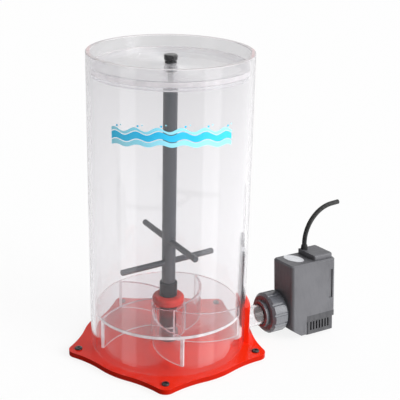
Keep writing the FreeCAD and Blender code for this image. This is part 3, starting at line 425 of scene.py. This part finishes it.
def clear_tube():
    """The tube's wall with its broken top rim and the port low at the right.

    Its foot runs a hair into the plate and has no face there, as on a joint that is cemented.
    """
    steps = 288
    outer, inner, top = TUBE_OUTER, TUBE_INNER, TUBE_TOP
    bottom = PLATE_TOP - CEMENT_GAP
    rim = 0.5
    bore = PIPE_RADIUS + CEMENT_GAP
    patch_half, patch_grid, grid_clearance = 17, 4, 1.2
    port_low, port_high = JET_HEIGHT - patch_half, JET_HEIGHT + patch_half
    turn = 2 * math.pi / steps
    bm = bmesh.new()
    known = {}

    def vert(radius, angle, height):
        key = (round(radius, 3), round((angle % (2 * math.pi)) / turn, 4) % steps,
               round(height, 4))
        if key not in known:
            spot = (radius * MM * math.cos(angle), radius * MM * math.sin(angle), height * MM)
            known[key] = bm.verts.new(spot)
        return known[key]

    def band(radius, low, high, other=None):
        """A full ring of faces; other is the radius at its upper edge."""
        far = radius if other is None else other
        for step in range(steps):
            near, after = step * turn, (step + 1) * turn
            yield step, (vert(radius, near, low), vert(radius, after, low),
                         vert(far, after, high), vert(far, near, high))

    loops = {}
    for radius in (outer, inner):
        loop = port_loop(radius, bore)
        loops[radius] = loop
        first = math.floor((min(angle for angle, _ in loop) - 0.02) / turn)
        last = math.ceil((max(angle for angle, _ in loop) + 0.02) / turn)
        patch = {step % steps for step in range(first, last)}
        for low, high in ((bottom, port_low), (port_low, port_high), (port_high, top - rim)):
            for step, corners in band(radius, low, high):
                if low != port_low or step not in patch:
                    bm.faces.new(corners)
        # The patch round the port, laid out flat, with its grid kept off the port's rim.
        heights = [port_low, port_high]
        border = [(step * turn, height) for step in range(first, last + 1) for height in heights]
        fill = []
        for step in range(first + 1, last):
            for height in range(int(port_low) + 3, int(port_high), patch_grid):
                side = radius * math.sin(step * turn - JET_ANGLE) + JET_OFFSET
                if math.hypot(side, height - JET_HEIGHT) > bore + grid_clearance:
                    fill.append((step * turn, float(height)))
        points = loop + border + fill
        flat = [Vector((angle * radius, height)) for angle, height in points]
        links = [(number, (number + 1) % len(loop)) for number in range(len(loop))]
        spots, _, faces, *_ = delaunay_2d_cdt(flat, links, [], 0, 1e-5)
        for face in faces:
            centre = sum((spots[number] for number in face), Vector((0, 0))) / len(face)
            side = radius * math.sin(centre.x / radius - JET_ANGLE) + JET_OFFSET
            if math.hypot(side, centre.y - JET_HEIGHT) < bore * 0.995:
                continue
            bm.faces.new([vert(radius, spots[number].x / radius, spots[number].y)
                          for number in face])
    for number in range(PORT_STEPS):
        after = (number + 1) % PORT_STEPS
        bm.faces.new((vert(outer, *loops[outer][number]), vert(outer, *loops[outer][after]),
                      vert(inner, *loops[inner][after]), vert(inner, *loops[inner][number])))
    rim_faces = []
    for _, corners in band(outer, top - rim, top, outer - rim):
        rim_faces.append(bm.faces.new(corners))
    for _, corners in band(inner, top - rim, top, inner + rim):
        rim_faces.append(bm.faces.new(corners))
    for step in range(steps):
        near, after = step * turn, (step + 1) * turn
        rim_faces.append(bm.faces.new((
            vert(outer - rim, near, top), vert(outer - rim, after, top),
            vert(inner + rim, after, top), vert(inner + rim, near, top))))
    bmesh.ops.recalc_face_normals(bm, faces=bm.faces)
    highest = max(bm.faces, key=lambda face: face.calc_center_median().z)
    if highest.normal.z < 0:
        bmesh.ops.reverse_faces(bm, faces=bm.faces)
    for face in rim_faces:
        face.material_index = 1
    make_piece("body_tube", bm, [MATERIALS["clear"], MATERIALS["rim"]])


# ---- blue band ------------------------------------------------------------------------------


PRINT_INSIDE, PRINT_OUTSIDE = TUBE_OUTER + 0.03, TUBE_OUTER + 0.16


def ribbon(bm, low, high, start, end, index, steps=180):
    """A thin strip on the tube's front between two heights that vary along it.

    Start and end are in degrees from the front; index picks its material.
    """
    rows = []
    for step in range(steps + 1):
        share = step / steps
        angle = math.radians(start + (end - start) * share - 90)
        row = []
        for radius, height in ((PRINT_INSIDE, low(share)), (PRINT_OUTSIDE, low(share)),
                               (PRINT_OUTSIDE, high(share)), (PRINT_INSIDE, high(share))):
            row.append(bm.verts.new((radius * MM * math.cos(angle), radius * MM * math.sin(angle),
                                     height * MM)))
        rows.append(row)
    for row, following in zip(rows, rows[1:]):
        for corner in range(4):
            after = (corner + 1) % 4
            bm.faces.new((row[corner], row[after], following[after],
                          following[corner])).material_index = index
    bm.faces.new(rows[0]).material_index = index
    bm.faces.new(rows[-1][::-1]).material_index = index


def bubble(bm, angle, height, size, index):
    """A small round dot on the tube's front."""
    steps = 28
    rings = []
    for radius in (PRINT_INSIDE, PRINT_OUTSIDE):
        ring = []
        for step in range(steps):
            turn = 2 * math.pi * step / steps
            swing = math.radians(angle - 90) + size * math.cos(turn) / radius
            ring.append(bm.verts.new((radius * MM * math.cos(swing),
                                      radius * MM * math.sin(swing),
                                      (height + size * math.sin(turn)) * MM)))
        rings.append(ring)
    for step in range(steps):
        after = (step + 1) % steps
        bm.faces.new((rings[0][step], rings[0][after], rings[1][after],
                      rings[1][step])).material_index = index
    bm.faces.new(rings[0][::-1]).material_index = index
    bm.faces.new(rings[1]).material_index = index


def wave_band():
    """A plain printed band on the front: rolling waves and a few bubbles, no lettering."""
    bm = bmesh.new()
    start, end = -41.0, 44.0
    blue, cyan = 0, 1

    def arch(share):
        """The band's middle sits a little higher than its ends."""
        return 5.0 * math.sin(math.pi * share)

    def swell(share, phase):
        return math.sin(2 * math.pi * (share * 5.5 + phase))

    ribbon(bm, lambda s: 266.5 + arch(s) + 1.3 * swell(s, 0.0),
           lambda s: 271.5 + arch(s) + 1.6 * swell(s, 0.0), start, end, cyan)
    ribbon(bm, lambda s: 272.5 + arch(s) + 1.6 * swell(s, 0.0),
           lambda s: 279.5 + arch(s) + 2.0 * swell(s, 0.06), start, end, blue)
    ribbon(bm, lambda s: 280.5 + arch(s) + 2.0 * swell(s, 0.06),
           lambda s: 283.5 + arch(s) + 2.2 * swell(s, 0.12), start, end, cyan)
    for number in range(6):
        angle = start + 4.6 + number * 15.4
        rise = arch((angle - start) / (end - start))
        bubble(bm, angle, 286.9 + rise, 1.1, blue)
        bubble(bm, angle + 3.0, 288.2 + rise, 0.7, cyan)
    bmesh.ops.recalc_face_normals(bm, faces=bm.faces)
    mesh = bpy.data.meshes.new("wave_band")
    bm.to_mesh(mesh)
    bm.free()
    mesh.materials.append(MATERIALS["blue"])
    mesh.materials.append(MATERIALS["cyan"])
    shade(mesh)
    piece = bpy.data.objects.new("wave_band", mesh)
    bpy.context.scene.collection.objects.link(piece)
    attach(piece, "vessel")


# ---- pieces ---------------------------------------------------------------------------------


DISC_BOTTOM = 50.0


def is_rim(centre, normal):
    """Faces that look outwards or inwards across the rotor axis."""
    return abs(normal.z) < 0.5


def is_vane_edge(centre, normal):
    """The undersides and both ends of the vanes: everything but the two broad curved faces."""
    reach = math.hypot(centre.x, centre.y)
    hub_end, wall_end = 0.0203, 0.0815
    return normal.z < -0.5 or reach > wall_end or reach < hub_end


def lower_tops(co):
    """Keeps the vanes a hair below the disc that they are cemented to."""
    co.z = min(co.z, (DISC_BOTTOM - CEMENT_GAP) * MM)


def slim_pipe(co):
    """Keeps the pipe's outside a hair clear of the bores it is cemented into."""
    side = -co.x * math.sin(JET_ANGLE) + co.y * math.cos(JET_ANGLE) + JET_OFFSET * MM
    reach = math.hypot(side, co.z - JET_HEIGHT * MM)
    on_outside = abs(reach - PIPE_RADIUS * MM) <= 0.0002
    if not on_outside:
        return
    pull = (PIPE_RADIUS - CEMENT_GAP) * MM / reach
    shift = side * (pull - 1)
    co.x -= shift * math.sin(JET_ANGLE)
    co.y += shift * math.cos(JET_ANGLE)
    co.z = JET_HEIGHT * MM + (co.z - JET_HEIGHT * MM) * pull


clear_tube()
wave_band()
turned("lid_ledge", [(76, 326), (84.9, 326), (84.9, 329.9), (76, 329.9)], 0.0003)
turned("lid", [(2.6, 330), (84.6, 330), (84.6, 336), (2.6, 336)], 0.0005,
       edge_look=MATERIALS["rim"], is_edge=is_rim)
turned("lid_bush", [(3.05, 312.6), (8, 312.6), (8, 329.9), (0, 329.9), (0, 327.6), (3.05, 327.6)],
       0.0003, steps=96)
turned("wheel_disc", [(10.35, DISC_BOTTOM), (83.5, DISC_BOTTOM), (83.5, 54), (10.35, 54)], 0.0003,
       edge_look=MATERIALS["edge"], is_edge=is_rim)
turned("wheel_hub", [(17, 16), (19.9, 16), (19.9, 49.9), (17, 49.9)], 0.0002, steps=128,
       edge_look=MATERIALS["edge"], is_edge=lambda centre, normal: normal.z < -0.5)
refined("wheel_vanes", 0.0002, MATERIALS["edge"], is_vane_edge, lower_tops)
refined("inlet_pipe", 0.0002, trim=slim_pipe)

# The width of the broken edges of the remaining pieces, in metres.
EDGE_WIDTH = {
    "base_plate": 0.0007, "port_saddle": 0.0006, "hub_ring": 0.0, "base_screws": 0.00012,
    "rubber_feet": 0.0003, "pivot_boss": 0.0003, "shaft_coupling": 0.0002, "stir_shaft": 0.0002,
    "shaft_top_plug": 0.0002, "upper_stir_bar": 0.00015, "lower_stir_bar": 0.00015,
    "lid_knob": 0.0003, "union_tail": 0.0003, "union_body": 0.0002, "union_nut": 0.0004,
    "pump_housing": 0.0007, "pump_cap": 0.0005, "intake_cover": 0.0002, "cable_gland": 0.0003,
    "power_cable": 0.0, "top_label": 0.0,
}
for node, width in EDGE_WIDTH.items():
    if node == "base_plate":
        # The plate's upright faces take the darker red copy, a painted shade.
        refined(node, width, MATERIALS["red_edge_painted_shade"], is_rim)
    else:
        refined(node, width)

for node, piece in frame["nodes"].items():
    piece.data.materials.clear()
    piece.data.materials.append(look_of(node))

# ---- stage ----------------------------------------------------------------------------------


def wide_floor():
    """A plain white sweep under the whole picture."""
    bm = bmesh.new()
    bmesh.ops.create_grid(bm, x_segments=1, y_segments=1, size=40)
    mesh = bpy.data.meshes.new("floor")
    bm.to_mesh(mesh)
    bm.free()
    floor = bpy.data.objects.new("floor", mesh)
    floor.location.z = -0.3 * MM
    bpy.context.scene.collection.objects.link(floor)
    material, tree = new_tree("white_sweep")
    path = add(tree, "ShaderNodeLightPath")
    spot = add(tree, "ShaderNodeTexCoord").outputs["Object"]
    reach = add(tree, "ShaderNodeVectorMath", {"Vector": spot}, operation="LENGTH")
    far = spread(tree, reach.outputs["Value"], 0.86, 0.60, 0.35, 1.6)
    seen = spread(tree, path.outputs["Is Transmission Ray"], 0.86, far, 0, 1)
    level = spread(tree, path.outputs["Is Diffuse Ray"], seen, 0.5, 0, 1)
    paper = add(tree, "ShaderNodeBsdfDiffuse", {"Color": (0.12, 0.12, 0.12, 1)})
    glow = add(tree, "ShaderNodeEmission", {"Color": (1, 1, 1, 1), "Strength": level})
    both = add(tree, "ShaderNodeAddShader", {0: paper.outputs["BSDF"], 1: glow.outputs["Emission"]})
    finish_tree(tree, both.outputs["Shader"])
    mesh.materials.append(material)
    floor.visible_glossy = False


def studio_world():
    """White behind for the eye; a studio with a bright right side for reflections and fill."""
    world = bpy.data.worlds.new("studio")
    world.use_nodes = True
    tree = world.node_tree
    tree.nodes.clear()
    bpy.context.scene.world = world
    heading = add(tree, "ShaderNodeTexCoord").outputs["Generated"]
    parts = add(tree, "ShaderNodeSeparateXYZ", {"Vector": heading})
    east, north, up = parts.outputs["X"], parts.outputs["Y"], parts.outputs["Z"]

    def math_node(operation, first, second=0.0):
        node = add(tree, "ShaderNodeMath", {0: first, 1: second}, operation=operation)
        return node.outputs["Value"]

    # Bearing of a direction: 0 towards the camera's side, positive to the right.
    back = math_node("MULTIPLY", north, -1.0)
    bearing = math_node("ARCTAN2", east, back)

    def strip(middle, half, soft, level):
        """A tall soft-edged light at a bearing in degrees."""
        away = math_node("ABSOLUTE", math_node("SUBTRACT", bearing, math.radians(middle)))
        return spread(tree, away, level, 0.0, math.radians(half - soft), math.radians(half + soft))

    side = spread(tree, east, 0.36, 1.0, -0.9, 0.9)
    behind = spread(tree, north, 0.0, 0.55, 0.0, 0.9)
    above = spread(tree, up, 0.0, 0.25, 0.0, 1.0)
    base = math_node("ADD", math_node("ADD", side, behind), above)
    lights = math_node("ADD", strip(59, 13, 2, 1.7), strip(-59, 12, 2, 1.25))
    frontal = math_node("ABSOLUTE", bearing)
    dim_front = spread(tree, frontal, 0.30, 1.0, math.radians(12), math.radians(48))
    far_side = math_node("ADD", strip(106, 38, 12, 0.85), spread(tree, north, 0.0, 0.15, 0.5, 0.9))
    room = math_node("ADD", math_node("MULTIPLY", side, dim_front), far_side)
    seen = math_node("ADD", math_node("ADD", room, math_node("MULTIPLY", above, 0.4)), lights)
    path = add(tree, "ShaderNodeLightPath")
    through = spread(tree, path.outputs["Is Transmission Ray"], 1.0, 0.70, 0.0, 1.0)
    plain = math_node("MAXIMUM", path.outputs["Is Camera Ray"], path.outputs["Is Transmission Ray"])
    shaded = math_node("SUBTRACT", base, spread(tree, east, 0.16, 0.0, -0.9, 0.2))
    soft = math_node("MULTIPLY", shaded, 0.55)
    lit = add(tree, "ShaderNodeMix", data_type="FLOAT")
    tree.links.new(path.outputs["Is Glossy Ray"], lit.inputs["Factor"])
    tree.links.new(soft, lit.inputs["A"])
    tree.links.new(seen, lit.inputs["B"])
    final = add(tree, "ShaderNodeMix", data_type="FLOAT")
    tree.links.new(plain, final.inputs["Factor"])
    tree.links.new(lit.outputs["Result"], final.inputs["A"])
    tree.links.new(through, final.inputs["B"])
    sky = add(tree, "ShaderNodeBackground", {"Color": (1, 1, 1, 1)})
    tree.links.new(final.outputs["Result"], sky.inputs["Strength"])
    add(tree, "ShaderNodeOutputWorld", {"Surface": sky.outputs["Background"]})


def lamp_from_right(name, energy, angle, mirrored):
    """Soft light from the right, a little in front; only a mirrored one shows in gloss."""
    lamp = bpy.data.lights.new(name, "SUN")
    lamp.energy = energy
    lamp.angle = math.radians(angle)
    key = bpy.data.objects.new(name, lamp)
    towards = Vector((-0.80, 0.50, -0.52))
    key.rotation_euler = towards.to_track_quat("-Z", "Y").to_euler()
    key.visible_glossy = mirrored
    key.visible_transmission = False
    bpy.context.scene.collection.objects.link(key)


def camera():
    """A long lens from the front, above the rim, looking down into the tube."""
    standpoint = Vector((0, -0.9919, 0.5592))
    yaw, pitch, roll = math.radians(1.98), math.radians(20.886), math.radians(1.306)
    ahead = Vector((math.sin(yaw) * math.cos(pitch), math.cos(yaw) * math.cos(pitch),
                    -math.sin(pitch)))
    level = Vector((math.cos(yaw), -math.sin(yaw), 0))
    over = level.cross(ahead)
    right = level * math.cos(roll) + over * math.sin(roll)
    top = over * math.cos(roll) - level * math.sin(roll)
    lens = bpy.data.cameras.new("camera")
    lens.lens = 85.45
    lens.sensor_width = 36
    lens.clip_start, lens.clip_end = 0.05, 100
    eye = bpy.data.objects.new("camera", lens)
    matrix = eye.matrix_world.copy()
    for column, axis in enumerate((right, top, -ahead, standpoint)):
        for row in range(3):
            matrix[row][column] = axis[row]
    eye.matrix_world = matrix
    bpy.context.scene.collection.objects.link(eye)
    bpy.context.scene.camera = eye


wide_floor()
studio_world()
lamp_from_right("key", 3.0, 40, False)
lamp_from_right("glint", 0.7, 40, True)
camera()

scene = bpy.context.scene
scene.view_settings.view_transform = "Standard"
scene.cycles.max_bounces = 24
scene.cycles.transmission_bounces = 24
scene.cycles.glossy_bounces = 10
scene.cycles.diffuse_bounces = 3
scene.cycles.transparent_max_bounces = 32
scene.cycles.caustics_reflective = False
scene.cycles.caustics_refractive = False
scene.cycles.sample_clamp_indirect = 6.0
